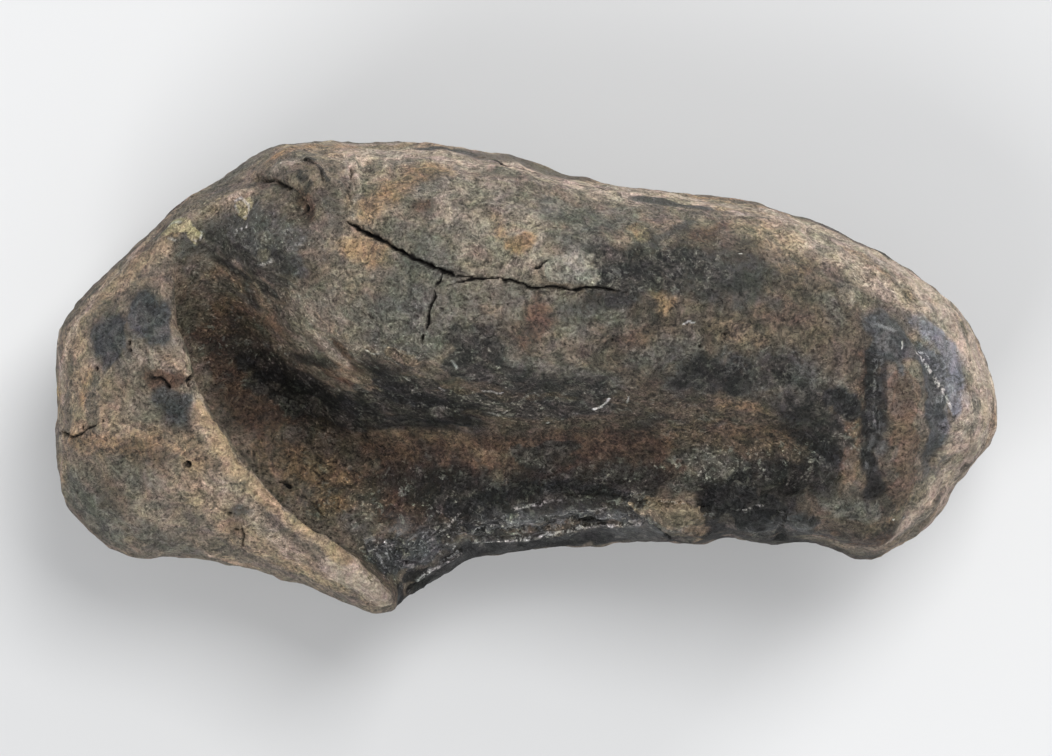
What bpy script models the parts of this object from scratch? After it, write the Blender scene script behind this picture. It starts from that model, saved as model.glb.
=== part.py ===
"""Fossil whale ear bone: the tympanic bulla of a baleen whale, one piece of mineralised bone.

It lies on its convex side with the tympanic cavity open upwards.
  +X  from the lip end, where a sheet of the outer lip still hoods the cavity, to the round end
  +Y  from the broken edge of the outer lip to the involucrum, the thick inner side
  +Z  up; the origin is on the table under the middle of the bone's plan

The shape is made as a sculptor would: an inflated outline, hollowed by one channel, remeshed,
marked with a few strokes, thinned to a light faceted solid and cut flat where it rests.
It is worked in millimetres and scaled to metres at the end.
"""

import bmesh
import bpy
import numpy as np
from mathutils import Matrix

MM = 0.001

# Driving dimensions, in millimetres
LENGTH = 94.0
WIDTH = 46.8
HEIGHT = 42.0
GIRTH = 17.0  # height of the widest outline above the table
REST_SINK = 0.9  # how far the round underside is cut away to leave the flat it rests on

# Mesh sizes
AROUND = 320  # points round the outline
UPPER_RINGS = 70
LOWER_RINGS = 30
VOXEL = 0.6
TRIANGLES = 8800

# The bone's outline seen from above, clockwise from the lip end: x, y
OUTLINE = [
    (-47.0, 3.5), (-46.7, 5.1), (-45.4, 6.8), (-41.6, 10.8), (-37.8, 14.4), (-34.8, 17.1),
    (-30.1, 20.1), (-25.5, 22.9), (-22.8, 23.3), (-18.9, 23.4), (-12.2, 23.3), (-5.6, 22.6),
    (-1.0, 21.9), (3.3, 20.4), (8.7, 19.1), (15.2, 18.4), (20.1, 17.7), (26.6, 16.2),
    (33.1, 13.5), (39.6, 9.7), (44.1, 5.5), (45.8, 1.6), (46.6, -1.0), (47.1, -3.6),
    (46.9, -5.5), (45.8, -7.5), (44.1, -9.4), (42.5, -10.9), (41.9, -12.7), (40.2, -14.8),
    (36.0, -17.6), (34.1, -18.2), (31.8, -17.7), (28.5, -16.7), (23.3, -17.0), (20.4, -16.1),
    (16.7, -16.9), (12.9, -16.5), (3.8, -17.3), (-2.7, -17.7), (-5.6, -18.4), (-9.6, -20.7),
    (-11.6, -22.0), (-12.6, -22.1), (-13.0, -23.4), (-14.9, -23.5), (-19.5, -21.9),
    (-26.1, -19.8), (-32.8, -18.3), (-37.4, -18.4), (-41.4, -17.5), (-44.4, -14.9),
    (-46.2, -12.4), (-46.9, -10.1), (-47.0, -5.2), (-46.8, -1.8),
]

# Ridge line of the involucrum: x, y, height
CREST = [
    (-27.0, 7.0, 35.0), (-17.0, 11.5, 38.0), (-4.0, 10.0, 41.0), (10.0, 6.5, 42.0), (23.0, 2.5, 40.5),
    (33.0, -2.5, 36.5),
]
RIDGE_SHARE = 0.7  # where an outline point's section crosses the ridge, as a share of its x
# Keel of the underside: x, y, height above the lowest point
KEEL = [(-26.0, 0.5, 3.4), (-12.0, 2.0, 0.9), (2.0, 2.5, 0.0), (16.0, 1.5, 0.6), (30.0, -1.0, 3.0)]

# Middle of the hollow, from the pocket under the lip to where it runs out: x, y, floor height,
# reach towards the involucrum, reach towards the lip and the broken edge
HOLLOW = [
    (-32.5, 11.5, 27.0, 8.0, 7.0),
    (-29.5, 4.0, 20.0, 12.0, 14.0),
    (-23.5, -4.5, 16.5, 14.5, 16.0),
    (-13.0, -9.5, 19.0, 15.0, 16.0),
    (0.0, -9.6, 23.0, 14.5, 5.0),
    (12.0, -9.8, 25.5, 13.5, 5.0),
    (22.0, -9.8, 28.5, 11.5, 5.0),
    (31.5, -9.0, 34.5, 9.0, 5.0),
]
HOLLOW_POWER = 1.35  # above 1, rounds the shoulder where the hollow leaves the crown

# Crest of the broken edge between the hollow and the outline: x, y, height, and the slope of
# the broken face that falls away outside it. At the round end it climbs out of reach
RIM = [
    (-16.5, -18.5, 23.0, 1.2),
    (-12.0, -15.5, 23.5, 1.2),
    (-9.0, -12.6, 24.0, 1.1),
    (-5.5, -12.0, 25.0, 1.25),
    (-1.0, -12.2, 25.8, 1.6),
    (3.3, -12.0, 26.5, 1.8),
    (8.0, -12.4, 27.5, 2.0),
    (12.5, -13.4, 28.0, 2.4),
    (17.0, -13.8, 28.5, 2.4),
    (22.0, -13.4, 29.5, 2.4),
    (27.0, -13.8, 32.0, 2.4),
    (32.0, -15.0, 45.0, 2.4),
    (40.0, -16.0, 60.0, 2.4),
]
RIM_REACH = 8.0  # how far outside the crest that slope holds
RIM_BLEND = 1.6

# Free edge of the lip, from its broken tip up past the pocket, then out over the crown where it
# marks nothing: x, y, plan width of the wall under the edge, scoop back under it, rise along it
LIP_EDGE = [
    (-12.4, -24.0, 1.3, 0.0, 4.5),
    (-14.2, -21.5, 1.3, 0.0, 4.5),
    (-17.7, -17.8, 1.3, 0.6, 3.2),
    (-20.7, -15.8, 1.3, 1.6, 2.4),
    (-23.7, -13.3, 1.3, 2.6, 1.8),
    (-26.5, -10.8, 1.3, 3.4, 1.4),
    (-28.7, -8.5, 1.3, 4.0, 1.0),
    (-30.5, -5.3, 1.3, 4.0, 0.8),
    (-32.2, -2.8, 1.3, 4.0, 0.6),
    (-33.3, -0.8, 1.3, 4.0, 0.4),
    (-33.7, 1.7, 1.3, 3.4, 0.3),
    (-35.2, 4.7, 1.5, 2.4, 0.2),
    (-36.2, 8.7, 2.0, 1.0, 0.0),
    (-36.6, 12.0, 3.0, 0.0, 0.0),
    (-35.0, 15.5, 5.0, 0.0, 0.0),
    (-31.0, 19.5, 6.0, 0.0, 0.0),
    (-20.0, 30.0, 6.0, 0.0, 0.0),
    (70.0, 40.0, 6.0, 0.0, 0.0),
]
LIP_SHEET = 4.5  # how far back from the edge that rise is felt

# Marks worked into the skin: path in plan, half width, depth (raised where negative), and the
# side it is on, +1 for the skin that faces up and -1 for the underside
STROKES = [
    ([(-22.5, 20.0), (-19.5, 17.5)], 3.0, -1.3, 1),  # hump between lip and involucrum
    ([(-29.5, 20.0), (-27.0, 19.6), (-23.5, 18.0), (-22.4, 16.0)], 1.3, 0.8, 1),  # fold behind it
    ([(-16.4, 21.5), (-16.8, 17.5), (-16.4, 14.0)], 1.5, 0.6, 1),  # fold before the involucrum
    ([(34.5, 6.0), (34.8, 0.0), (34.3, -6.0), (33.5, -12.0)], 1.5, 0.5, 1),  # grooves of the
    ([(38.8, 4.0), (40.2, 0.0), (40.4, -5.0), (38.8, -12.0)], 1.5, 0.35, 1),  # round end
    ([(22.5, -14.6), (22.6, -14.7)], 1.6, -1.0, 1),  # lumps along the broken edge
    ([(27.5, -14.0), (27.8, -14.2)], 1.9, -1.2, 1),
    ([(33.0, -15.6), (34.0, -15.8)], 2.8, -1.0, 1),
    ([(14.0, -14.2), (18.0, -14.4)], 1.4, -0.8, 1),
    ([(-6.0, -17.0), (3.0, -14.8), (12.0, -14.2)], 0.9, 0.6, 1),  # step along the broken edge
    ([(47.0, -3.0), (38.0, -2.5), (28.0, -2.0)], 3.0, 2.2, -1),  # furrow between the end's lobes
    ([(-36.0, -9.0), (-28.0, -6.0)], 4.5, -0.8, -1),  # swelling and dent of the underside
    ([(-18.0, 15.0), (-6.0, 16.0)], 4.0, 0.9, -1),
]
LEAST_STEP = 1e-9  # keeps a path's shortest step from dividing by zero


def spline(points, count, closed=False):
    """count points along a Catmull-Rom curve through the given ones, evenly spaced in plan."""
    p = np.array(points, float)
    if closed:
        p = np.vstack([p[-1], p, p[0], p[1]])
    else:
        p = np.vstack([2 * p[0] - p[1], p, 2 * p[-1] - p[-2]])
    u = np.linspace(0, 1, 24, endpoint=False)[:, None]
    pieces = []
    for a, b, c, d in zip(p[:-3], p[1:-2], p[2:-1], p[3:]):
        bend = 2 * a - 5 * b + 4 * c - d + u * (3 * (b - c) + d - a)
        pieces.append(b + 0.5 * u * (c - a + u * bend))
    fine = np.vstack(pieces + [p[-2:-1]])
    along = np.concatenate([[0], np.cumsum(np.linalg.norm(np.diff(fine[:, :2], axis=0), axis=1))])
    at = np.linspace(0, along[-1], count, endpoint=not closed)
    return np.stack([np.interp(at, along, fine[:, k]) for k in range(p.shape[1])], axis=1)


def nearest(path, xy):
    """For each point: distance to the path in plan, side (left of the path is +), values there."""
    best = np.full(len(xy), np.inf)
    side = np.ones(len(xy))
    values = np.zeros((len(xy), path.shape[1]))
    for here, there in zip(path[:-1], path[1:]):
        step = there - here
        to = xy - here[:2]
        t = np.clip(to @ step[:2] / max(step[:2] @ step[:2], LEAST_STEP), 0, 1)
        gap = to - t[:, None] * step[:2]
        d = np.hypot(gap[:, 0], gap[:, 1])
        closer = d < best
        best[closer] = d[closer]
        cross = step[0] * to[:, 1] - step[1] * to[:, 0]
        side[closer] = np.where(cross[closer] >= 0, 1.0, -1.0)
        values[closer] = here + t[closer, None] * step
    return best, side, values


def smooth_step(low, high, value):
    t = np.clip((value - low) / (high - low), 0, 1)
    return t * t * (3 - 2 * t)


def smooth_min(a, b, width):
    h = np.clip(0.5 + 0.5 * (b - a) / width, 0, 1)
    return b + (a - b) * h - width * h * (1 - h)


def broken_edge(xy, z):
    """Height of the upper surface once the outer lip is broken off down to its rim."""
    d, side, at = nearest(spline(RIM, 100), xy)
    face = at[:, 2] + at[:, 3] * np.clip(side * d, -RIM_REACH, 3 * RIM_REACH)
    return smooth_min(z, np.maximum(face, GIRTH), RIM_BLEND)


def hollowed(xy, z):
    """Height of the upper surface once the tympanic cavity is carved out of it."""
    d, side, at = nearest(spline(HOLLOW, 80), xy)
    reach = np.where(side > 0, at[:, 3], at[:, 4])
    share = smooth_step(1.0, 0.0, d / reach) ** HOLLOW_POWER
    return z - np.maximum(z - at[:, 2], 0) * share


def carved(xy, z):
    """The upper surface with its broken edge and its cavity, the lip left whole and turned up."""
    d, side, edge = nearest(spline(LIP_EDGE, 240), xy)
    inside = smooth_step(0.0, 1.0, -side * d / edge[:, 2])
    lip = z + edge[:, 4] * np.exp(-((d / LIP_SHEET) ** 2))
    return lip + (hollowed(xy, broken_edge(xy, z)) - lip) * inside


def shell(outline, ridge, rings, squareness, top):
    """Rings from the outline in to a ridge line, domed up (or down) to the ridge's heights."""
    line = spline(ridge, 60)
    foot_x = np.clip(outline[:, 0] * RIDGE_SHARE, line[0, 0], line[-1, 0])
    foot = np.stack([np.interp(foot_x, line[:, 0], line[:, k]) for k in range(3)], axis=1)
    layers = []
    for k in range(1, rings + 1):
        r = max(np.cos(0.5 * np.pi * k / rings), 0.01)
        xy = foot[:, :2] + (outline - foot[:, :2]) * r
        rise = (1 - r**squareness) ** (1 / squareness)
        z = GIRTH + (foot[:, 2] - GIRTH) * rise
        if top:
            z = carved(xy, z)
        layers.append(np.column_stack([xy, z]))
    return layers


def inflate():
    """The closed starting mesh: upper and lower shells sewn round one outline."""
    outline = spline(OUTLINE, AROUND, closed=True)
    girth = np.column_stack([outline, np.full(AROUND, GIRTH)])
    keel = [(x, y, z - REST_SINK) for x, y, z in KEEL]
    upper = shell(outline, CREST, UPPER_RINGS, 2.2, top=True)
    lower = shell(outline, keel, LOWER_RINGS, 2.4, top=False)

    bm = bmesh.new()
    loops = []
    for layer in [*reversed(lower), girth, *upper]:
        loops.append([bm.verts.new(p) for p in layer])
    for low, high in zip(loops[:-1], loops[1:]):
        for i in range(AROUND):
            j = (i + 1) % AROUND
            bm.faces.new((low[j], low[i], high[i], high[j]))
    bm.faces.new(loops[0])
    bm.faces.new(reversed(loops[-1]))
    bmesh.ops.recalc_face_normals(bm, faces=bm.faces)
    mesh = bpy.data.meshes.new("inflated")
    bm.to_mesh(mesh)
    bm.free()
    return mesh


def with_modifier(mesh, kind, **settings):
    """The mesh after one modifier, applied."""
    obj = bpy.data.objects.new("working", mesh)
    bpy.context.scene.collection.objects.link(obj)
    modifier = obj.modifiers.new(kind.lower(), kind)
    for name, value in settings.items():
        setattr(modifier, name, value)
    graph = bpy.context.evaluated_depsgraph_get()
    made = bpy.data.meshes.new_from_object(obj.evaluated_get(graph))
    bpy.data.objects.remove(obj)
    return made


def read(collection, name, width=3):
    """One vector of every vertex or vertex normal, as rows."""
    found = np.empty(len(collection) * width, np.float32)
    collection.foreach_get(name, found)
    return found.reshape(-1, width).astype(float)


def move_points(mesh, points):
    mesh.vertices.foreach_set("co", points.astype(np.float32).ravel())
    mesh.update()


def scoop_under_lip(mesh):
    """Pushes the middle of the steep wall back under the lip's edge, which is left overhanging."""
    p = read(mesh.vertices, "co")
    d, side, at = nearest(spline(LIP_EDGE, 240), p[:, :2])
    inward = (p[:, :2] - at[:, :2]) / np.maximum(d, 0.05)[:, None]
    near = smooth_step(5.0, 1.0, d) * (side < 0)
    wall = smooth_step(15.0, 19.0, p[:, 2]) * smooth_step(31.0, 26.0, p[:, 2])
    p[:, :2] -= inward * (at[:, 3] * near * wall)[:, None]
    move_points(mesh, p)


def work_strokes(mesh):
    """Digs or raises each stroke along the skin's own normals."""
    for path, width, depth, facing in STROKES:
        p = read(mesh.vertices, "co")
        normal = read(mesh.vertex_normals, "vector")
        d, _, _ = nearest(np.array(path), p[:, :2])
        fade = np.exp(-((d / width) ** 2)) * smooth_step(0.0, 0.5, facing * normal[:, 2])
        move_points(mesh, p - normal * (depth * fade)[:, None])


def fit_to_size(mesh):
    """Brings the smoothed body to its driving dimensions, with the plane it rests on at height 0."""
    p = read(mesh.vertices, "co")
    low, high = p.min(0), p.max(0)
    low[2] += REST_SINK
    scale = np.array([LENGTH, WIDTH, HEIGHT]) / (high - low)
    foot = np.array([(low[0] + high[0]) / 2, (low[1] + high[1]) / 2, low[2]])
    move_points(mesh, (p - foot) * scale)


def cut_flat(mesh):
    """Flattens the lowest part of the underside to the one face that the bone rests on."""
    bm = bmesh.new()
    bm.from_mesh(mesh)
    for vert in bm.verts:
        vert.co.z = max(vert.co.z, 0)
    flat = [face for face in bm.faces if all(vert.co.z == 0 for vert in face.verts)]
    bmesh.ops.dissolve_faces(bm, faces=flat, use_verts=True)
    bm.to_mesh(mesh)
    bm.free()


def mineralised_bone():
    """Stained fossil bone: mid brown, half glossy."""
    material = bpy.data.materials.new("mineralised_bone")
    material.use_nodes = True
    shader = material.node_tree.nodes["Principled BSDF"]
    shader.inputs["Base Color"].default_value = (0.085, 0.066, 0.047, 1)
    shader.inputs["Roughness"].default_value = 0.55
    shader.inputs["Metallic"].default_value = 0
    return material


def build():
    for old in list(bpy.data.objects):
        bpy.data.objects.remove(old)
    mesh = inflate()
    mesh = with_modifier(mesh, "REMESH", mode="VOXEL", voxel_size=VOXEL)
    scoop_under_lip(mesh)
    mesh = with_modifier(mesh, "REMESH", mode="VOXEL", voxel_size=VOXEL)
    mesh = with_modifier(mesh, "SMOOTH", factor=0.5, iterations=4)
    work_strokes(mesh)
    mesh = with_modifier(mesh, "SMOOTH", factor=0.5, iterations=1)
    fit_to_size(mesh)
    mesh = with_modifier(mesh, "DECIMATE", ratio=0.5 * TRIANGLES / len(mesh.polygons))
    cut_flat(mesh)
    mesh.transform(Matrix.Scale(MM, 4))
    mesh.shade_smooth()
    bulla = bpy.data.objects.new("ear_bone", mesh)
    bulla.data.materials.append(mineralised_bone())
    bpy.context.scene.collection.objects.link(bulla)
    size = [round(side / MM, 2) for side in bulla.dimensions]
    print("ear_bone", len(mesh.polygons), "faces,", size, "mm")


build()
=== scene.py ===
# %% [markdown]
# # A fossil whale ear bone
# The bone round a whale's ear is as dense as stone, so it often outlasts the rest of the skull.
# This one is worn and stained by the ground it lay in. It lies on its convex side, so the hollow
# of the ear faces up: a thick rounded crown on one side, what is left of a thin lip on the other.
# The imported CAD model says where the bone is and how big. This script keeps both, and adds the
# fine relief and the stained, speckled surface.

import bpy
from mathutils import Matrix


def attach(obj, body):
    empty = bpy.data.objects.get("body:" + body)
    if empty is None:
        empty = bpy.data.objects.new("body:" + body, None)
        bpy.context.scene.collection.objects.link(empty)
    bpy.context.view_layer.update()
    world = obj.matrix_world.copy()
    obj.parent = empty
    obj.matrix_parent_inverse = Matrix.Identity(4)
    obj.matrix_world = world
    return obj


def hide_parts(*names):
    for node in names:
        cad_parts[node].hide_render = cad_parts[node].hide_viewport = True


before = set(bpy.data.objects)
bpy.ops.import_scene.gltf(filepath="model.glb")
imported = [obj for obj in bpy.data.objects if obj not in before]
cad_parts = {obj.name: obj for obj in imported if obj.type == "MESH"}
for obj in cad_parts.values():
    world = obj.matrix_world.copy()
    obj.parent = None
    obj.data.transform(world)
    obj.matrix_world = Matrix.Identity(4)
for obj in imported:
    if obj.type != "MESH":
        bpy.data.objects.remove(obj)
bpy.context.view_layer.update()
print("packed nodes:", sorted(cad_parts))

# %% Import what the lesson uses
import math

import bmesh
import bpy
import numpy as np
from mathutils import Vector
from mathutils.bvhtree import BVHTree
from mathutils.kdtree import KDTree

scene = bpy.context.scene
scene.view_settings.view_transform = "Standard"
print("lengths below are in millimetres; Blender's own are in metres")

# %% [markdown]
# ## Camera
# The camera looks straight down on the hollow. A long lens from far above keeps the outline
# nearly the same size at the floor and at the crown, as a lens across a table does.

# %% Place the camera
GIRTH = 17.0
CAMERA_RISE = 1600.0
FRAME_ACROSS = 105.2
AIM_X, AIM_Y = -0.1, -0.1
SENSOR = 36
camera_data = bpy.data.cameras.new("camera")
camera_data.sensor_width = SENSOR
camera_data.lens = SENSOR * CAMERA_RISE / FRAME_ACROSS
camera_data.clip_end = 20
camera = bpy.data.objects.new("camera", camera_data)
camera.location = (AIM_X / 1000, AIM_Y / 1000, (GIRTH + CAMERA_RISE) / 1000)
scene.collection.objects.link(camera)
scene.camera = camera
print("lens", round(camera_data.lens), "mm, camera", round(camera.location.z, 3), "m above the floor")

# %% [markdown]
# ## A ruler from the camera to the bone
# Every mark on the bone is named by where the camera sees it, in points of its frame, a tenth of
# a millimetre across at the widest outline. A ray from the camera carries each mark onto the
# surface, so it stays on the bone from every side. Marks on the sides that the camera can't see
# are named by three lengths instead, and land on the nearest surface.

# %% Carry marks onto the surface
VIEW_WIDTH, VIEW_HEIGHT = 1052, 756
POINT = FRAME_ACROSS / VIEW_WIDTH
EYE = Vector((AIM_X, AIM_Y, GIRTH + CAMERA_RISE))


def read_points(mesh):
    flat = np.zeros(len(mesh.vertices) * 3)
    mesh.vertices.foreach_get("co", flat)
    return flat.reshape(-1, 3) * 1000


def write_points(mesh, places):
    mesh.vertices.foreach_set("co", (places / 1000).ravel())
    mesh.update()


cad_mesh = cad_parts["ear_bone"].data
cad_faces = [tuple(face.vertices) for face in cad_mesh.polygons]
cad_skin = BVHTree.FromPolygons([Vector(point) for point in read_points(cad_mesh)], cad_faces)


def on_bone(mark):
    if len(mark) == 3:
        return cad_skin.find_nearest(Vector(mark))[0]
    across = AIM_X + (mark[0] - VIEW_WIDTH / 2) * POINT
    along = AIM_Y + (VIEW_HEIGHT / 2 - mark[1]) * POINT
    aim = Vector((across, along, GIRTH))
    hit = cad_skin.ray_cast(EYE, aim - EYE)[0]
    return hit or cad_skin.find_nearest(aim)[0]


def trace(marks):
    return np.array([on_bone(mark) for mark in marks])


print("the crown's highest mark is at", [round(n, 1) for n in on_bone((600, 320))])

# %% [markdown]
# ## Skin
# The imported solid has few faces. A voxel remesh covers it in small even ones, and smoothing
# melts the old facets, so that relief can be pushed into the points afterwards.

# %% Cover the bone in small faces
FACE = 0.55
SMOOTHING = 10
WELD_GAP = 1e-6
bone = bpy.data.objects.new("bone", cad_mesh.copy())
scene.collection.objects.link(bone)
bone.data.materials.clear()
welded = bmesh.new()
welded.from_mesh(bone.data)
bmesh.ops.remove_doubles(welded, verts=welded.verts, dist=WELD_GAP)
welded.to_mesh(bone.data)
welded.free()
remesh = bone.modifiers.new("skin", "REMESH")
remesh.mode = "VOXEL"
remesh.voxel_size = FACE / 1000
smooth = bone.modifiers.new("melt facets", "SMOOTH")
smooth.factor = 0.5
smooth.iterations = SMOOTHING
ready = bone.evaluated_get(bpy.context.evaluated_depsgraph_get())
skin = bpy.data.meshes.new_from_object(ready)
bone.modifiers.clear()
bone.data = skin
print("skin:", len(skin.vertices), "points,", len(skin.polygons), "faces")

# %% [markdown]
# ## Where the finest detail goes
# Cracks, pores, white flecks and the light glints of the broken rim are narrower than a face.
# Only the faces next to them are split, which costs far less than small faces everywhere. Each
# crack has a half width in points of the ruler and a depth in millimetres, then the marks it
# runs through. A pore has one mark, and a fleck or a glint has a whiteness in place of the depth.

# %% List the cracks
FAR_CRACK = ((493, 158), (504, 163), (522, 167), (541, 173), (556, 179), (571, 182), (590, 187), (606, 192))
CRACKS = {
    "crown, left strand": (
        2.2, 1.0, (338, 214), (345, 219), (356, 227), (372, 235), (397, 249), (417, 260), (440, 270),
        (455, 275), (471, 278),
    ),
    "crown, right strand": (
        1.4, 0.75, (447, 286), (459, 283), (473, 279), (495, 277.5), (506, 279), (517, 281.5), (533, 287),
        (548, 287), (570, 289), (591, 287), (615, 290.5), (628, 292),
    ),
    "crown, branch": (
        1.5, 0.85, (443, 271), (441, 280), (436, 288), (435, 298), (429, 310), (428, 322), (424, 333),
        (422, 346),
    ),
    "crown, short": (1.3, 0.5, (533, 267.5), (543, 262), (551, 259)),
    "far edge": (1.5, 0.5, *FAR_CRACK),
    "lip, across": (1.5, 0.55, (58, 432), (64, 433), (72, 435), (77, 437), (90, 428), (101, 423)),
    "trough floor": (2.1, 0.7, (279, 480), (286, 484), (292, 487)),
    "trough floor, faint": (1.1, 0.35, (299, 491), (308, 499), (319, 509), (336, 526)),
    "lip, slit": (1.9, 0.7, (193, 366), (192, 376), (188, 383), (191, 388)),
    "lip, chip": (1.5, 0.5, (150, 377), (160, 379), (166, 386), (171, 387)),
    "lip, lower": (1.1, 0.4, (242, 528), (243, 538), (243, 549)),
    "hump, crease": (1.3, 0.4, (258, 178), (274, 181), (288, 186), (298, 195), (303, 204)),
    "hump, wrinkle": (1.3, 0.35, (296, 158), (310, 164), (321, 175), (325, 188)),
    "hump, far wrinkle": (1.3, 0.35, (347, 165), (351, 178), (348, 192), (352, 204)),
    "under the flake": (1.3, 0.4, (632, 503), (645, 512), (655, 523), (667, 535), (680, 543)),
    "over the flake": (1.1, 0.3, (676, 500), (698, 505), (716, 512)),
}
print(len(CRACKS), "cracks")

# %% List the pores, flecks and glints
PORES = [
    (4.6, 0.9, (188, 464)), (3.0, 0.7, (129, 343)), (3.0, 0.7, (130, 350)), (2.8, 0.6, (96, 369)),
    (3.4, 0.9, (190, 384)), (3.0, 0.6, (166, 385)), (2.3, 0.5, (229, 515)), (2.6, 0.5, (236, 531)),
    (2.6, 0.6, (292, 562)), (1.9, 0.4, (725, 334)), (1.9, 0.4, (700, 346)), (1.9, 0.4, (612, 340)),
    (4.0, 0.45, (303, 208)), (1.7, 0.5, (241, 206)), (1.9, 0.5, (195, 237)), (2.2, 0.5, (84, 427)),
    (2.0, 0.4, (63, 463)), (2.2, 0.4, (104, 421)),
]
FLECKS_AND_HIGHLIGHT = [
    (2.4, 1.0, (594, 409), (601, 407)), (1.4, 1.0, (600, 407), (605, 403), (609, 398)),
    (0.9, 0.5, (627, 402), (629, 395)), (0.9, 0.5, (684, 324), (689, 321), (694, 323)),
    (1.3, 0.9, (385, 542), (386, 543)), (1.1, 0.7, (892, 519), (893, 519)),
    (1.1, 0.7, (903, 518), (904, 518)), (1.3, 0.9, (334, 152), (338, 152)),
    (1.3, 0.35, (367, 349), (373, 354), (379, 353)), (1.8, 0.3, (452, 362), (457, 368)),
    (2.1, 0.35, (484, 392), (492, 391), (500, 393)), (1.1, 0.5, (497, 393), (503, 392)),
    (1.0, 0.6, (547, 423), (549, 421)), (1.0, 0.7, (740, 253), (742, 253)),
    (2.4, 0.25, (490, 412), (499, 414)), (1.8, 0.3, (404, 379), (409, 383)),
    (1.5, 0.25, (440, 386), (445, 391)),
    (1.5, 0.45, (236, 202), (242, 199), (248, 204), (247, 212), (240, 215)),
    (1.3, 0.3, (236, 210), (235, 205)), (1.3, 0.45, (191, 234), (196, 230), (201, 234), (200, 240)),
    (1.2, 0.3, (192, 240), (196, 242)), (1.7, 0.3, (168, 233), (175, 228), (183, 225)),
    (1.5, 0.25, (170, 240), (177, 241), (185, 237)), (1.0, 0.6, (504, 412), (508, 408)),
    # The first mark on this line, on the blob of the round end, is a painted highlight, not a fleck.
    (1.4, 0.7, (901, 343), (902, 348)), (1.1, 0.5, (235, 230), (236, 231)),
    (1.1, 0.5, (240, 229), (241, 229)), (1.1, 0.5, (245, 227), (246, 225)),
]
# These glints are painted highlights: white put into the colour where light catches the facets of the
# broken rim and the glossy band of the round end.
GLINTS = [
    (2.6, 0.9, (919, 351), (927, 363), (935, 376), (945, 391), (952, 407)),
    (1.3, 0.3, (877, 366), (876, 392), (875, 424)),
    (1.8, 0.9, (415, 577), (428, 568), (440, 562), (458, 552)),
    (1.9, 0.9, (468, 540), (500, 538), (531, 536)),
    (1.6, 0.8, (540, 534), (575, 529), (590, 527), (618, 523), (642, 521)),
    (1.6, 0.7, (515, 508), (545, 501), (580, 498)), (1.5, 0.6, (600, 499), (625, 503)),
    (1.6, 0.7, (470, 534), (482, 526), (500, 523)), (1.6, 0.3, (392, 583), (408, 590)),
    (1.5, 0.6, (520, 522), (560, 514)), (1.5, 0.6, (560, 510), (610, 508)),
    (1.4, 0.5, (430, 540), (446, 530), (460, 512)), (1.6, 0.6, (396, 560), (412, 566)),
    (1.4, 0.5, (738, 512), (762, 508)), (1.4, 0.5, (655, 500), (690, 504)),
    (1.4, 0.5, (257, 265), (271, 262)), (1.4, 0.5, (276, 164), (284, 164)),
    (1.3, 0.4, (380, 545), (410, 548)),
]
print(len(PORES), "pores,", len(FLECKS_AND_HIGHLIGHT + GLINTS), "flecks and glints")


# %% Measure how near each point is to a path
def near(places, path, reach):
    """The points within reach of a path, how far off they are and how far along it, 0 to 1."""
    box = ((places > path.min(0) - reach) & (places < path.max(0) + reach)).all(1)
    found = np.flatnonzero(box)
    best = np.full(len(found), 1e9)
    along = np.zeros(len(found))
    steps = max(len(path) - 1, 1)
    for step in range(steps):
        start = path[step]
        run = path[min(step + 1, len(path) - 1)] - start
        length = max(float(run @ run), 1e-12)
        share = np.clip((places[found] - start) @ run / length, 0, 1)
        far = np.linalg.norm(places[found] - start - share[:, None] * run, axis=1)
        closer = far < best
        best[closer] = far[closer]
        along[closer] = (step + share[closer]) / steps
    close = best < reach
    return found[close], best[close], along[close]


CRACK_STEP = 0.55
CRACK_WANDER = 0.075


def jagged(path, seed):
    """The same path in short uneven steps, as a crack runs from grain to grain."""
    chance = np.random.default_rng(seed)
    steps = [path[0]]
    for start, end in zip(path[:-1], path[1:]):
        count = max(int(np.linalg.norm(end - start) / CRACK_STEP), 1)
        for share in np.linspace(0, 1, count + 1)[1:]:
            steps.append(start + (end - start) * share + chance.normal(size=3) * CRACK_WANDER)
    return np.array(steps)


def ease(start, end, value):
    """Goes softly from 0 at start to 1 at end."""
    share = np.clip((value - start) / (end - start), 0, 1)
    return share * share * (3 - 2 * share)


print("a soft step, a quarter, half and three quarters through:", ease(0, 1, np.array([0.25, 0.5, 0.75])))


# %% Split the faces beside them
def refine(mesh, chosen, cuts):
    """Splits every face that has a chosen point."""
    work = bmesh.new()
    work.from_mesh(mesh)
    faces = [face for face in work.faces if any(chosen[point.index] for point in face.verts)]
    edges = list({edge for face in faces for edge in face.edges})
    bmesh.ops.subdivide_edges(work, edges=edges, cuts=cuts, use_grid_fill=True)
    many_sided = [face for face in work.faces if len(face.verts) > 4]
    bmesh.ops.triangulate(work, faces=many_sided)
    work.to_mesh(mesh)
    work.free()


CRACK_MARGIN, FLECK_MARGIN, RIM_GAP = 0.3, 0.2, 0.7
crack_paths = [jagged(trace(marks), seed) for seed, (_, _, *marks) in enumerate(CRACKS.values())]
fine_paths = [
    (path, width * POINT + CRACK_MARGIN) for path, (width, *_) in zip(crack_paths, CRACKS.values())
]
fine_paths += [(trace(marks), width * POINT + CRACK_MARGIN) for width, _, *marks in PORES]
fine_paths += [(trace(marks), width * POINT + FLECK_MARGIN) for width, _, *marks in FLECKS_AND_HIGHLIGHT + GLINTS]
RIM = [(16, (400, 560), (440, 550), (470, 530), (560, 518), (640, 512)), (9, (735, 520), (800, 522))]
rim_paths = [(trace(marks), width * POINT) for width, *marks in RIM]


def beside(places, paths, spare=0.0):
    """Whether each point is within reach of one of the paths."""
    chosen = np.zeros(len(places), bool)
    for path, reach in paths:
        chosen[near(places, path, reach + spare)[0]] = True
    return chosen


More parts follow.
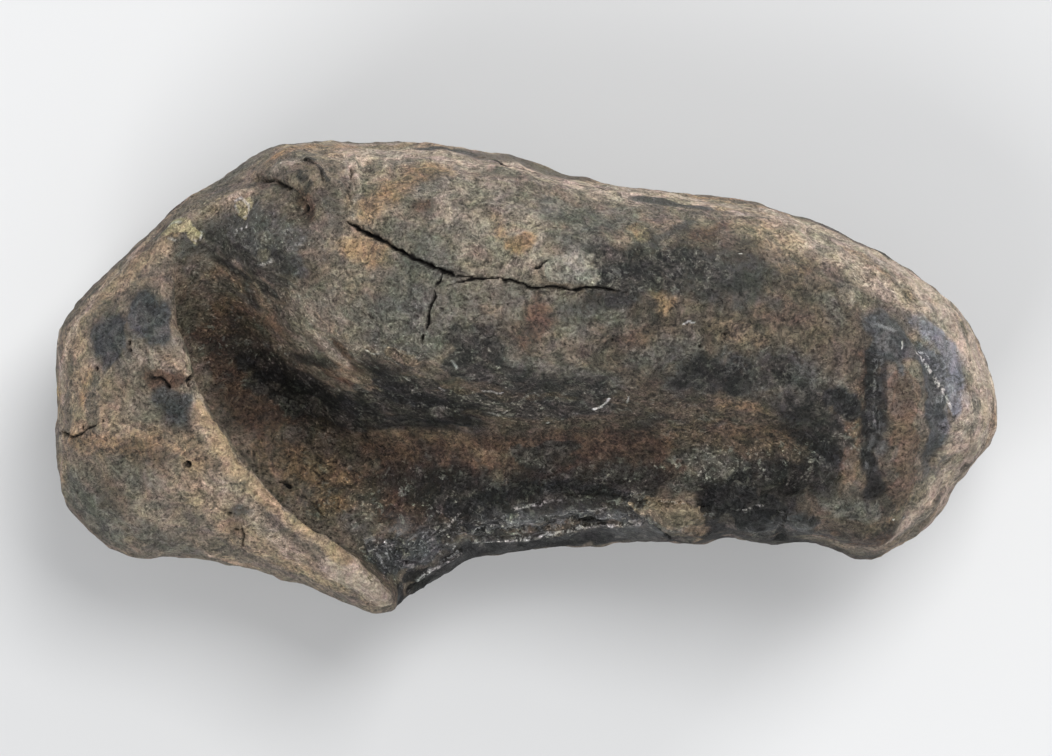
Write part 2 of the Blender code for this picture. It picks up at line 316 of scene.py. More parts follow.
refine(skin, beside(read_points(skin), fine_paths), 3)
places = read_points(skin)
refine(skin, beside(places, rim_paths) & ~beside(places, fine_paths, RIM_GAP), 1)
places = read_points(skin)
triangles = sum(len(face.vertices) - 2 for face in skin.polygons)
print("split beside the cracks:", len(places), "points,", triangles, "triangles")


# %% [markdown]
# ## Relief
# Nothing on an old bone is regular, so its relief is a sum of waves in random directions, at
# several sizes. The same numbers come out each run because the seed is fixed.

# %% Make uneven relief from waves
def waves(places, size, seed, count=22):
    """Unevenness about this far from bump to bump, mostly within -2 to 2."""
    chance = np.random.default_rng(seed)
    total = np.zeros(len(places))
    for _ in range(count):
        direction = chance.normal(size=3)
        direction /= np.linalg.norm(direction)
        length = size * chance.uniform(0.7, 1.6)
        total += np.cos(places @ direction * (2 * math.pi / length) + chance.uniform(0, 2 * math.pi))
    return total / math.sqrt(count / 2)


def facing(mesh):
    flat = np.zeros(len(mesh.vertices) * 3)
    mesh.vertices.foreach_get("normal", flat)
    return flat.reshape(-1, 3)


def push(mesh, amount):
    """Moves each point out of the surface by its own amount."""
    moved = read_points(mesh) + facing(mesh) * amount[:, None]
    moved[:, 2] = np.maximum(moved[:, 2], 0)
    write_points(mesh, moved)


ragged = waves(places, 3.4, 11) * 0.6 + waves(places, 1.3, 12) * 0.4
lumps = 0.12 * waves(places, 8, 1) + 0.07 * waves(places, 3.2, 2) + 0.035 * waves(places, 1.5, 3)
push(skin, lumps)
print("lumps from", round(lumps.min(), 2), "to", round(lumps.max(), 2), "mm")

# %% [markdown]
# ### Bumps and grooves
# The forms that a viewer would name, such as the grooves of the round end or the hump, are
# dabbed on one by one. Each dab is a half width in points, a height in millimetres and the marks it
# runs through, and its edge is ragged, so that it doesn't look like a thumb print.

# %% List the broader forms
DABS = {
    "blob on the round end": [(13, 0.45, (884, 325), (898, 340)), (5, -0.3, (905, 322), (918, 350))],
    "grooves of the round end": [
        (9, -0.4, (872, 352), (872, 400), (868, 445)), (7, -0.3, (868, 455), (876, 488)),
        (8, -0.4, (926, 350), (936, 390), (930, 460)), (2, 0.25, (876, 362), (876, 430)),
    ],
    "stripe between them": [(9, 0.3, (902, 380), (903, 480)), (6, 0.3, (850, 425), (851, 470))],
    "layers of the right edge": [
        (3, 0.25, (962, 385), (966, 440), (955, 475)), (3, -0.25, (970, 385), (974, 430)),
        (3, 0.25, (980, 375), (985, 420)),
    ],
    "flake": [
        (12, 0.45, (646, 511), (690, 514)), (8, 0.35, (662, 526), (700, 534)),
        (3, 0.3, (640, 505), (690, 505)),
    ],
    "lumps": [
        (15, 0.5, (748, 524), (768, 520)), (13, 0.45, (798, 520), (806, 530)),
        (9, 0.4, (850, 508), (870, 508)), (5, -0.5, (780, 515), (782, 540)),
        (5, -0.4, (815, 515), (812, 545)),
    ],
    "the hollow above the lumps": [(18, -0.7, (720, 500), (755, 492), (785, 485))],
    "facets of the rim": [
        (13, 0.4, (520, 513), (580, 507), (628, 513)),
        (3, 0.35, (474, 538), (531, 537), (575, 531), (640, 522)),
        (4, -0.5, (480, 530), (540, 527), (600, 519)), (4, 0.35, (475, 510), (500, 517)),
        (3, 0.4, (415, 577), (440, 562), (458, 552)), (7, 0.35, (390, 562), (420, 552)),
        (5, -0.4, (440, 545), (462, 528)), (4, 0.3, (398, 545), (430, 532), (446, 515)),
        (6, 0.2, (408, 590), (420, 587)), (5, 0.3, (560, 498), (620, 500)),
    ],
    "hump": [
        (16, 0.5, (310, 170), (330, 190)), (3, -0.35, (255, 178), (273, 180), (290, 188), (298, 197)),
        (7, -0.4, (300, 204), (306, 214)), (4, -0.3, (282, 158), (300, 160), (312, 172)),
        (3, -0.25, (316, 196), (336, 206)), (4, -0.3, (362, 165), (364, 210)),
        (3, 0.3, (352, 158), (357, 185), (356, 214)),
    ],
    "strip along the hollow": [
        (6, 0.25, (155, 246), (184, 221), (229, 201), (250, 193)),
        (7, -0.4, (170, 250), (200, 232), (240, 215)),
    ],
    "notch of the lip": [
        (7, -0.45, (165, 380), (188, 378)), (5, 0.35, (160, 368), (185, 362)),
        (4, 0.3, (176, 381), (178, 381)),
    ],
    "worn patches": [
        (16, -0.2, (108, 326), (112, 352)), (9, -0.2, (150, 312), (165, 332)),
        (9, -0.2, (175, 404), (176, 412)), (12, -0.15, (560, 270), (588, 266)),
    ],
    "scratches on the lip": [
        (2, -0.2, (112, 418), (136, 397)), (2, -0.15, (118, 421), (140, 403)),
        (2, -0.12, (160, 470), (215, 545)), (2, -0.12, (150, 478), (200, 545)),
    ],
}
print(len(DABS), "broader forms")

# %% Find the points beside each stroke
def beside_strokes(strokes, reach):
    """Each stroke's half width and strength, with the points within its reach and how far off."""
    for width, strength, *marks in strokes:
        half = width * POINT
        found, far, _ = near(places, trace(marks), reach * half)
        yield half, strength, found, far


pore_points = sum(len(found) for _, _, found, _ in beside_strokes(PORES, 1))
print(pore_points, "points lie in the pores")

# %% Press the forms into the skin
FIRM = ("flake", "lumps", "facets of the rim")
FIRM_EDGE, SOFT_EDGE = (1.2, 0.7), (1.6, 0.3)
raised = np.zeros(len(places))
for name, strokes in DABS.items():
    outer, inner = FIRM_EDGE if name in FIRM else SOFT_EDGE
    for half, height, found, far in beside_strokes(strokes, 1.8):
        edge = half * (1 + 0.25 * ragged[found])
        raised[found] += height * ease(outer * edge, inner * edge, far)
push(skin, raised)
print("pressed from", round(raised.min(), 2), "to", round(raised.max(), 2), "mm")

# %% [markdown]
# ## Fracture
# The long rim is broken, not worn: its face is a patchwork of small flat facets. Random hearts
# share out the rim, each point going to the nearest, and each patch is tilted its own way, as a
# hard brittle bone breaks.

# %% Break the rim into facets
BROKEN_RIM = [
    (17, 1.0, (385, 565), (430, 550), (470, 528), (560, 516), (640, 510)),
    (10, 0.8, (640, 512), (705, 522)), (12, 0.7, (740, 520), (800, 522)),
]


def facets(places, size, seed):
    """Flat patches about this wide, each tilted its own way."""
    chance = np.random.default_rng(seed)
    low, high = places.min(0), places.max(0)
    count = int(np.prod((high - low) / size + 1))
    hearts = chance.uniform(low, high, (count, 3))
    tilts = chance.normal(size=(count, 3))
    tree = KDTree(count)
    for number, heart in enumerate(hearts):
        tree.insert(heart, number)
    tree.balance()
    owner = np.array([tree.find(place)[1] for place in places])
    return ((places - hearts[owner]) * tilts[owner]).sum(1)


def brush(strokes, far_edge=1.9, near_edge=0.3):
    """How much of each point the strokes cover: a half width, a strength and marks for each."""
    cover = np.zeros(len(places))
    for half, strength, found, far in beside_strokes(strokes, 2.6):
        edge = half * (1 + 0.3 * ragged[found])
        cover[found] = np.maximum(cover[found], strength * ease(far_edge * edge, near_edge * edge, far))
    return cover


fractured = brush(BROKEN_RIM, 1.3, 0.8)
on_rim = np.flatnonzero(fractured)
broken_by = np.zeros(len(places))
broken_by[on_rim] = 0.16 * facets(places[on_rim], 1.9, 31) + 0.12 * facets(places[on_rim], 0.9, 32)
broken_by = np.clip(broken_by, -0.3, 0.25) * fractured
push(skin, broken_by)
print("facets on", len(on_rim), "points, up to", round(np.abs(broken_by).max(), 2), "mm")

# %% [markdown]
# ### Cracks and pores
# A crack is a narrow groove along its jagged path, tapered at both ends, and a pore is a small
# round pit. They are cut after the lumps, dabs and facets, so that nothing fills them again.

# %% Cut the cracks and pores
cut = np.zeros(len(places))
for path, (width, depth, *_) in zip(crack_paths, CRACKS.values()):
    half = width * POINT
    found, far, along = near(places, path, 2.2 * half)
    taper = np.clip(np.minimum(along, 1 - along) * 10, 0.5, 1)
    edge = half * taper * (1.15 + 0.25 * waves(places[found], 0.7, 21))
    cut[found] = np.maximum(cut[found], depth * taper * np.clip(1 - far / edge, 0, 1) ** 0.7)
for half, depth, found, far in beside_strokes(PORES, 1.6):
    edge = half * (1 + 0.2 * waves(places[found], 0.9, 22))
    cut[found] = np.maximum(cut[found], depth * ease(edge, 0.35 * edge, far))
push(skin, -cut)
print("deepest cut", round(cut.max(), 2), "mm")

# %% [markdown]
# ## Stains
# The ground stained the bone in patches. Each stain is brushed on as named strokes, a half width,
# a strength and the marks it runs through, and saved on the points as how much of the surface it
# covers. The material breaks each patch up into speckles later, which a brushed edge alone can't
# do. The palest ones follow the outline: partly bone rubbed by handling and sand, partly painted
# light that brightens the outer walls, the lip's free edge and the crown's steep slope into the
# hollow, where the lamps leave them dim.

# %% List the pale stains
FAR_EDGE = (
    (300, 145), (420, 142), (520, 162), (620, 188), (720, 202), (820, 228), (920, 280), (975, 340),
    (995, 400), (985, 450), (940, 510), (885, 555),
)
NEAR_EDGE = ((64, 470), (60, 400), (72, 335), (128, 262), (228, 172), (300, 147))
# Strokes along FAR_EDGE and NEAR_EDGE, down the right edge, along the lip's free edge and tip, and on the
# crown's steep slope into the hollow paint light over the real pale tone: they brighten walls and edges
# that the lamps leave dim.
PALE_STAINS = {
    "sand": [
        (16, 0.6, *NEAR_EDGE), (24, 0.9, *FAR_EDGE), (24, 1.0, (300, 296), (318, 342), (352, 372)),
        (60, 0.6, (-20, 22, 24), (0, 21, 22), (15, 18, 24)), (50, 0.6, (44, -4, 20), (38, -14, 16)),
        (20, 0.9, (215, 500), (275, 550), (335, 582), (380, 598)), (12, 0.6, (215, 552), (245, 567)),
        (14, 0.6, (235, 495), (262, 525)), (14, 0.8, (300, 520), (345, 556), (380, 592)),
        (34, 0.8, (790, 238), (860, 258), (915, 290)), (18, 0.8, (80, 345), (78, 420)),
        (18, 0.8, (100, 300), (125, 275), (160, 248)),
        (16, 0.7, (345, 152), (420, 148), (500, 158), (590, 186)),
        (18, 0.8, (395, 175), (385, 200), (430, 168)), (30, 0.5, (225, 480), (175, 450)),
        (30, 0.5, (110, 400), (150, 440)), (14, 0.7, (165, 345), (188, 366)),
        (14, 0.7, (350, 240), (375, 252)), (18, 0.5, (500, 215), (520, 240)),
        (12, 0.8, (200, 215), (240, 196)), (16, 0.5, (470, 300), (520, 318)),
        (12, 0.6, (640, 215), (650, 235)), (12, 0.6, (652, 284), (668, 300)),
        (20, 0.4, (740, 225), (780, 240)), (12, 0.7, (648, 508), (690, 514)),
        (8, 0.6, (680, 530), (700, 534)),
    ],
    "pale": [
        (13, 0.7, *FAR_EDGE), (15, 1.3, (972, 376), (976, 440)), (12, 0.8, (925, 515), (900, 530)),
        (18, 0.9, (298, 300), (308, 342), (334, 362)), (30, 0.5, (42, 6, 28), (45, 0, 22)),
        (40, 0.5, (-30, -15, 14), (-20, -18, 12)), (50, 0.6, (-12, 21, 27), (8, 20, 27)),
        (34, 0.7, (395, 190), (455, 185), (530, 205)), (30, 0.6, (405, 235), (450, 220)),
        (26, 0.7, (480, 232), (525, 250)), (28, 0.8, (305, 300), (345, 325), (335, 350)),
        (22, 0.4, (465, 303), (512, 315)), (11, 0.5, (345, 152), (420, 149)),
        (12, 0.9, (520, 164), (590, 187)), (34, 0.8, (830, 245), (880, 262), (925, 292), (950, 330)),
        (10, 0.4, (600, 192), (640, 200)), (12, 0.5, (640, 360), (600, 345)),
        (10, 0.8, (850, 290), (860, 320)), (20, 0.5, (318, 305), (350, 328)),
        (8, 0.9, (545, 172), (585, 183)), (12, 0.4, (340, 270), (370, 268)),
        (6.5, 1.3, (350, 158), (355, 185), (358, 214)), (9, 1.2, (272, 167), (292, 160)),
        (20, 0.5, (100, 350), (150, 370)), (14, 0.7, (515, 192), (525, 225)),
        (24, 0.4, (120, 500), (170, 530)),
    ],
    "rose": [
        (9, 0.5, *NEAR_EDGE), (16, 0.6, *FAR_EDGE), (14, 0.9, (966, 400), (958, 440), (948, 490)),
        (12, 0.7, (316, 335), (338, 362), (364, 376)),
        (34, 0.6, (-16, 20.5, 27), (-5, 21, 26), (4, 20, 27), (15, 18, 27)),
        (30, 0.5, (25, 16, 27), (38, 12, 24)), (20, 1.2, (976, 345), (986, 395), (976, 450)),
        (26, 0.9, (870, 252), (925, 290), (956, 335)), (26, 0.5, (820, 250), (890, 290)),
        (8, 0.8, (60, 335), (62, 400)), (7, 0.45, (155, 246), (184, 221), (229, 201), (250, 193)),
        (10, 0.5, (590, 184), (640, 196)), (14, 0.6, (740, 214), (800, 226)),
        (6, 0.9, (276, 168), (292, 162)), (5, 0.6, (352, 166), (356, 190)),
        (30, 0.8, (46.9, 0, 17), (43, -9, 17), (39, -13, 17)), (30, 0.6, (44, 8, 22), (36, 13.5, 22)),
        (9, 0.8, (170, 345), (190, 364)), (12, 0.4, (300, 300), (345, 325)),
        (10, 0.3, (385, 154), (430, 152)), (12, 0.6, (510, 164), (560, 176)),
        (14, 0.8, (955, 465), (915, 515), (885, 540)), (16, 1.3, (335, 568), (362, 586), (386, 600)),
        (12, 0.9, (200, 404), (212, 424), (232, 462), (262, 492), (312, 528), (352, 562)),
        (16, 0.5, (215, 480), (300, 560)), (10, 0.5, (165, 540), (215, 556)),
        (12, 0.5, (440, 200), (455, 215)), (24, 0.4, (800, 235), (850, 250)),
    ],
    "ochre": [
        (11, 0.9, (202, 408), (214, 428), (232, 464), (262, 496), (312, 532), (340, 556)),
        (8, 0.7, (640, 505), (684, 508)), (9, 0.35, (322, 318), (345, 338)),
        (6, 0.3, (480, 451), (506, 455)),
    ],
}
print(len(PALE_STAINS), "pale stains")

# %% [markdown]
# ### Brown and green stains
# Iron in the ground turns bone brown and rusty, and plants leave it mossy green. Both are
# strongest in the hollow, where water stood.

# %% List the brown and green stains
EARTH_STAINS = {
    "brown": [
        (50, 0.7, (-35, 14, 12), (-20, 20, 8), (0, 21, 8)), (40, 0.6, (20, 17, 10), (35, 12, 10)),
        (70, 0.8, (-20, 0, 0), (20, 0, 0)), (50, 0.6, (30, -10, 5), (0, -13, 4)),
        (60, 1.3, (430, 400), (520, 410), (650, 400), (780, 400), (825, 430)),
        (50, 1.1, (340, 440), (480, 450), (620, 460)),
        (46, 1.2, (640, 330), (720, 312), (800, 308), (830, 330)),
        (40, 1.2, (660, 440), (760, 440), (820, 450)), (12, 1.0, (872, 350), (872, 490)),
        (30, 0.8, (690, 260), (760, 275)), (8, 0.4, (300, 164), (312, 174)),
        (9, 0.4, (318, 174), (330, 200)), (30, 1.3, (820, 520), (870, 530)),
        (18, 0.7, (745, 245), (690, 235)), (24, 0.7, (560, 300), (620, 320)),
        (20, 0.3, (190, 275), (205, 310)), (24, 0.7, (225, 330), (235, 380)),
        (24, 0.6, (110, 500), (90, 525)), (20, 0.6, (150, 535), (190, 552)),
        (16, 0.4, (150, 384), (112, 392)), (20, 0.2, (270, 320), (300, 340)),
        (10, 0.5, (312, 340), (322, 352)), (34, 1.0, (470, 515), (560, 530), (700, 530), (800, 540)),
        (30, 0.6, (350, 495), (420, 512)), (18, 0.5, (125, 452), (165, 456)),
        (18, 0.8, (874, 350), (874, 480)), (8, 0.5, (930, 400), (927, 475)),
        (20, 0.4, (100, 500), (130, 530)), (26, 0.7, (250, 240), (300, 270)),
        (14, 0.4, (430, 215), (418, 240)), (16, 0.4, (800, 290), (830, 270)),
        (8, 0.5, (182, 420), (198, 440)), (14, 0.7, (500, 330), (540, 320)),
    ],
    "moss": [
        (35, 0.6, (-28, 19, 20), (-10, 22, 14)), (30, 0.6, (10, 19, 14), (28, 15, 16)),
        (40, 0.5, (-40, 2, 10), (-42, -4, 18)), (28, 0.8, (385, 330), (410, 305), (425, 268)),
        (18, 0.7, (400, 355), (435, 345), (450, 310)), (24, 0.8, (555, 205), (590, 220), (580, 245)),
        (22, 0.6, (550, 312), (610, 320)), (24, 0.7, (700, 270), (745, 282)),
        (12, 0.5, (140, 330), (178, 345)), (18, 0.8, (680, 485), (735, 475)),
        (16, 0.7, (620, 210), (650, 245)), (22, 0.6, (460, 300), (520, 308)),
        (14, 0.6, (640, 358), (690, 348)), (10, 0.9, (828, 506), (872, 512)),
        (12, 0.6, (205, 268), (240, 295)), (18, 0.3, (345, 320), (375, 300)),
        (22, 0.7, (520, 370), (590, 380)), (16, 0.6, (675, 462), (705, 456)),
        (18, 0.6, (780, 380), (830, 390)), (18, 0.4, (135, 405), (160, 425)),
        (18, 0.6, (145, 535), (185, 550)), (24, 0.8, (80, 490), (105, 530)),
        (14, 0.5, (120, 470), (150, 480)), (30, 0.6, (210, 240), (270, 235)),
        (12, 0.5, (830, 300), (836, 316)), (10, 0.7, (655, 520), (700, 530)),
        (16, 0.5, (400, 230), (440, 250)), (20, 0.6, (350, 512), (425, 508)),
        (10, 0.3, (302, 320), (312, 340)), (30, 0.4, (520, 510), (620, 505)),
    ],
    "rust": [
        (18, 0.5, (-24, 20, 26), (-18, 21.5, 22)), (16, 0.5, (18, 17.5, 20), (22, 16.5, 17)),
        (18, 0.5, (-45, -2, 20), (-44, -6, 14)), (18, 0.5, (36, -13, 16), (30, -15, 12)),
        (18, 0.6, (368, 205), (390, 190), (435, 170)), (14, 0.6, (350, 245), (378, 254)),
        (9, 0.8, (514, 246), (524, 240)), (7, 0.5, (495, 215), (500, 235)),
        (7, 0.3, (197, 398), (205, 415), (220, 442), (234, 464), (262, 490), (288, 512)),
        (7, 0.3, (290, 515), (318, 532), (350, 558)), (6, 0.5, (285, 515), (312, 537)),
        (10, 0.6, (335, 366), (360, 376)), (14, 0.8, (475, 456), (500, 450), (520, 458)),
        (10, 0.8, (656, 285), (668, 302)), (24, 0.4, (390, 440), (460, 445)),
        (10, 0.4, (785, 266), (800, 268)), (6, 0.9, (645, 505), (680, 508)),
        (18, 0.4, (170, 440), (215, 470)), (14, 0.5, (100, 446), (155, 441)),
        (8, 0.6, (636, 226), (641, 236)), (6, 0.8, (240, 207), (243, 208)),
        (5, 0.9, (194, 236), (195, 236)), (6, 0.5, (170, 232), (178, 236)),
        (14, 0.3, (720, 330), (760, 340)), (11, 0.6, (850, 426), (850, 474)),
        (9, 0.5, (75, 440), (110, 450)), (8, 0.4, (845, 250), (880, 270)),
        (18, 0.4, (215, 275), (250, 290)), (12, 0.5, (222, 304), (252, 312), (276, 324)),
        (8, 0.4, (905, 500), (890, 520)), (8, 0.5, (90, 375), (80, 400)), (26, 0.4, (270, 450), (330, 500)),
        (20, 0.3, (350, 500), (395, 512)), (20, 0.5, (290, 460), (340, 480)),
        (14, 0.6, (320, 494), (342, 506)), (12, 0.4, (720, 400), (760, 410)),
        (30, 0.3, (690, 430), (780, 440)),
    ],
    "umber": [
        (28, 0.6, (-34, 15, 16), (-30, 17, 12)), (34, 0.6, (5, 12, 2), (20, 8, 2)),
        (26, 0.6, (-10, -18, 6), (0, -15, 5)), (10, 0.8, (302, 196), (309, 214)),
        (20, 0.4, (220, 395), (240, 415)), (22, 0.9, (398, 508), (430, 526)),
        (16, 0.4, (132, 450), (165, 455)), (8, 0.8, (338, 346), (348, 356)),
        (9, 1.0, (322, 366), (350, 384)), (24, 0.3, (340, 430), (400, 460)),
        (22, 0.35, (200, 318), (240, 325), (280, 330)), (11, 0.9, (206, 332), (216, 345), (216, 370)),
        (18, 0.8, (242, 412), (285, 412)), (24, 0.8, (390, 462), (430, 456)),
        (26, 0.9, (572, 448), (650, 444)), (26, 0.85, (450, 462), (560, 452)),
        (18, 0.8, (220, 350), (240, 400)), (26, 0.8, (540, 478), (620, 470), (650, 466)),
        (22, 0.4, (740, 432), (800, 442)), (15, 1.1, (828, 534), (872, 545)),
        (14, 0.7, (540, 315), (532, 335)), (10, 0.6, (700, 236), (722, 226)),
        (9, 0.7, (418, 206), (428, 203)), (9, 0.9, (150, 377), (178, 381)),
        (12, 0.4, (290, 300), (260, 320)), (18, 0.4, (765, 305), (795, 312)),
        (14, 0.4, (600, 330), (640, 340)), (12, 0.7, (868, 360), (868, 440)),
        (8, 0.5, (232, 520), (238, 534)), (8, 0.4, (64, 460), (66, 480)),
    ],
}
print(len(EARTH_STAINS), "brown and green stains")

# %% [markdown]
# ### Grey and black stains
# Manganese stains bone slate grey to soot black. The thin bluish sheen of the round end lies over
# everything else: it is a painted reflection, bluish light off the glossy band put into the colour,
# and the same map gives the coat that really shines there.

# %% List the grey and black stains
DARK_STAINS = {
    "slate": [
        (26, 0.6, (-5, 21.5, 24), (4, 20.5, 20)), (24, 0.6, (30, 14.5, 20), (38, 11, 16)),
        (26, 0.5, (-44, 5, 12), (-41, 9, 16)), (26, 0.5, (38, -7, 6), (30, -12, 5)),
        (20, 1.0, (106, 326), (112, 350)), (15, 0.9, (140, 308), (154, 316), (156, 328)),
        (12, 0.8, (164, 400), (184, 402), (176, 418)), (9, 0.6, (238, 512), (242, 512)),
        (20, 0.6, (190, 246), (228, 230), (270, 218), (292, 240)), (18, 0.8, (250, 250), (290, 262)),
        (20, 0.6, (400, 560), (440, 548)), (20, 0.5, (560, 385), (610, 385)),
        (26, 0.8, (690, 375), (740, 380)), (20, 0.7, (770, 368), (800, 372)),
        (20, 0.6, (470, 345), (500, 365)), (10, 0.5, (565, 310), (605, 305)),
        (10, 0.9, (640, 199), (706, 208)), (9, 0.9, (425, 148), (470, 154)),
        (6, 0.6, (655, 240), (672, 232), (692, 220)), (12, 0.8, (500, 524), (630, 516)),
        (24, 0.6, (790, 400), (830, 430)), (12, 0.5, (325, 200), (340, 230)),
        (26, 0.6, (640, 275), (700, 272), (750, 280)), (20, 1.0, (884, 325), (898, 350)),
        (13, 0.9, (934, 380), (936, 425)), (10, 0.6, (868, 445), (880, 450)),
        (16, 0.8, (750, 522), (800, 524)), (12, 0.3, (415, 255), (440, 262)),
    ],
    "soot_and_painted_shadow": [
        (14, 0.6, (240, 352), (266, 366)), (9, 0.8, (222, 262), (248, 277)),
        (9, 0.7, (246, 284), (256, 304)), (9, 0.7, (296, 358), (332, 363)),
        (12, 0.6, (366, 404), (392, 418)), (13, 0.8, (814, 462), (818, 484)),
        (8, 0.6, (276, 258), (284, 268)), (26, 0.8, (430, 486), (520, 492), (640, 486)),
        (14, 0.6, (388, 478), (415, 482)), (10, 0.4, (402, 514), (418, 524)),
        # The soot strokes on this line and the next, along the crown's step into the hollow, paint its
        # shadow as well as the dark stain.
        (22, 0.95, (282, 370), (320, 392)), (16, 0.9, (300, 400), (345, 415), (400, 420), (470, 420)),
        (24, 0.9, (385, 378), (410, 398), (440, 408)), (20, 0.5, (466, 350), (480, 350), (490, 375)),
        (18, 0.7, (470, 402), (540, 405)), (14, 0.5, (560, 388), (600, 392)),
        (22, 1.0, (605, 268), (640, 270), (685, 264)), (10, 0.6, (592, 300), (625, 298)),
        (14, 0.5, (700, 252), (750, 262)), (22, 0.6, (690, 278), (745, 286)),
        (16, 0.7, (600, 280), (640, 276)), (18, 0.6, (705, 378), (728, 385)),
        (13, 0.5, (772, 370), (790, 376)), (12, 0.8, (840, 400), (846, 408)),
        (26, 0.75, (805, 420), (835, 440), (815, 475)), (10, 0.9, (874, 356), (873, 400), (872, 440)),
        (9, 0.9, (868, 458), (876, 478), (872, 490)), (28, 1.0, (716, 500), (750, 494), (785, 486)),
        (9, 0.8, (735, 538), (790, 543)), (15, 0.9, (438, 500), (470, 500), (500, 505)),
        (14, 0.9, (440, 530), (470, 525), (500, 545)),
        (14, 0.95, (425, 580), (445, 566), (480, 548), (560, 540), (650, 532)),
        (12, 0.6, (620, 505), (640, 520)), (11, 0.8, (928, 362), (934, 400), (928, 450)),
        (12, 0.5, (880, 320), (898, 330)), (20, 0.3, (640, 486), (700, 490)),
        (10, 0.6, (815, 545), (845, 550)), (10, 0.6, (640, 425), (660, 415)),
        (8, 0.5, (335, 385), (345, 395)), (6, 1.0, (398, 588), (400, 606)),
        (26, 0.9, (-11, -20.5, 14), (-7, -19, 15)), (30, 0.8, (-8, -18.5, 12), (-4, -17.4, 10)),
        (20, 0.6, (-1, -17, 11), (2, -15.8, 8)), (26, 0.8, (3, -16.8, 14), (9, -16.4, 12.5)),
        (18, 0.6, (12, -16.4, 16), (15, -16.4, 14)), (26, 0.9, (19, -16.2, 23), (27, -16.4, 22)),
        (20, 0.8, (20, -16.8, 17), (26, -16.8, 16)), (16, 0.6, (28, -16.9, 22), (30, -16.8, 18)),
        (12, 0.7, (19, -16.6, 14), (20.5, -16.2, 11.5)), (11, 0.6, (25, -16.4, 14.5), (26.5, -16, 12.5)),
        (16, 0.6, (31, -17.2, 20), (34, -17.4, 21)), (20, 0.5, (14, 18.8, 9), (22, 16.5, 8)),
        (18, 0.6, (-2, 21.5, 12)),
    ],
    "sheen": [
        # sheen: a painted reflection, the bluish light off the glossy round end.
        (20, 0.5, (940, 345), (960, 385)), (14, 0.95, (932, 334), (948, 350), (957, 380)),
        (9, 0.8, (957, 380), (955, 408)), (5, 0.5, (946, 410), (944, 440)),
    ],
}
print(len(DARK_STAINS), "grey and black stains")

# %% [markdown]
# ### Crisp marks
# Crusts, chips and the blackest blots end sharply, while the other stains fade away. They are
# listed apart, so that they can be brushed with a firmer edge. Some char and ink strokes, along the
# crown's step into the hollow, are painted shadow as well as stain.

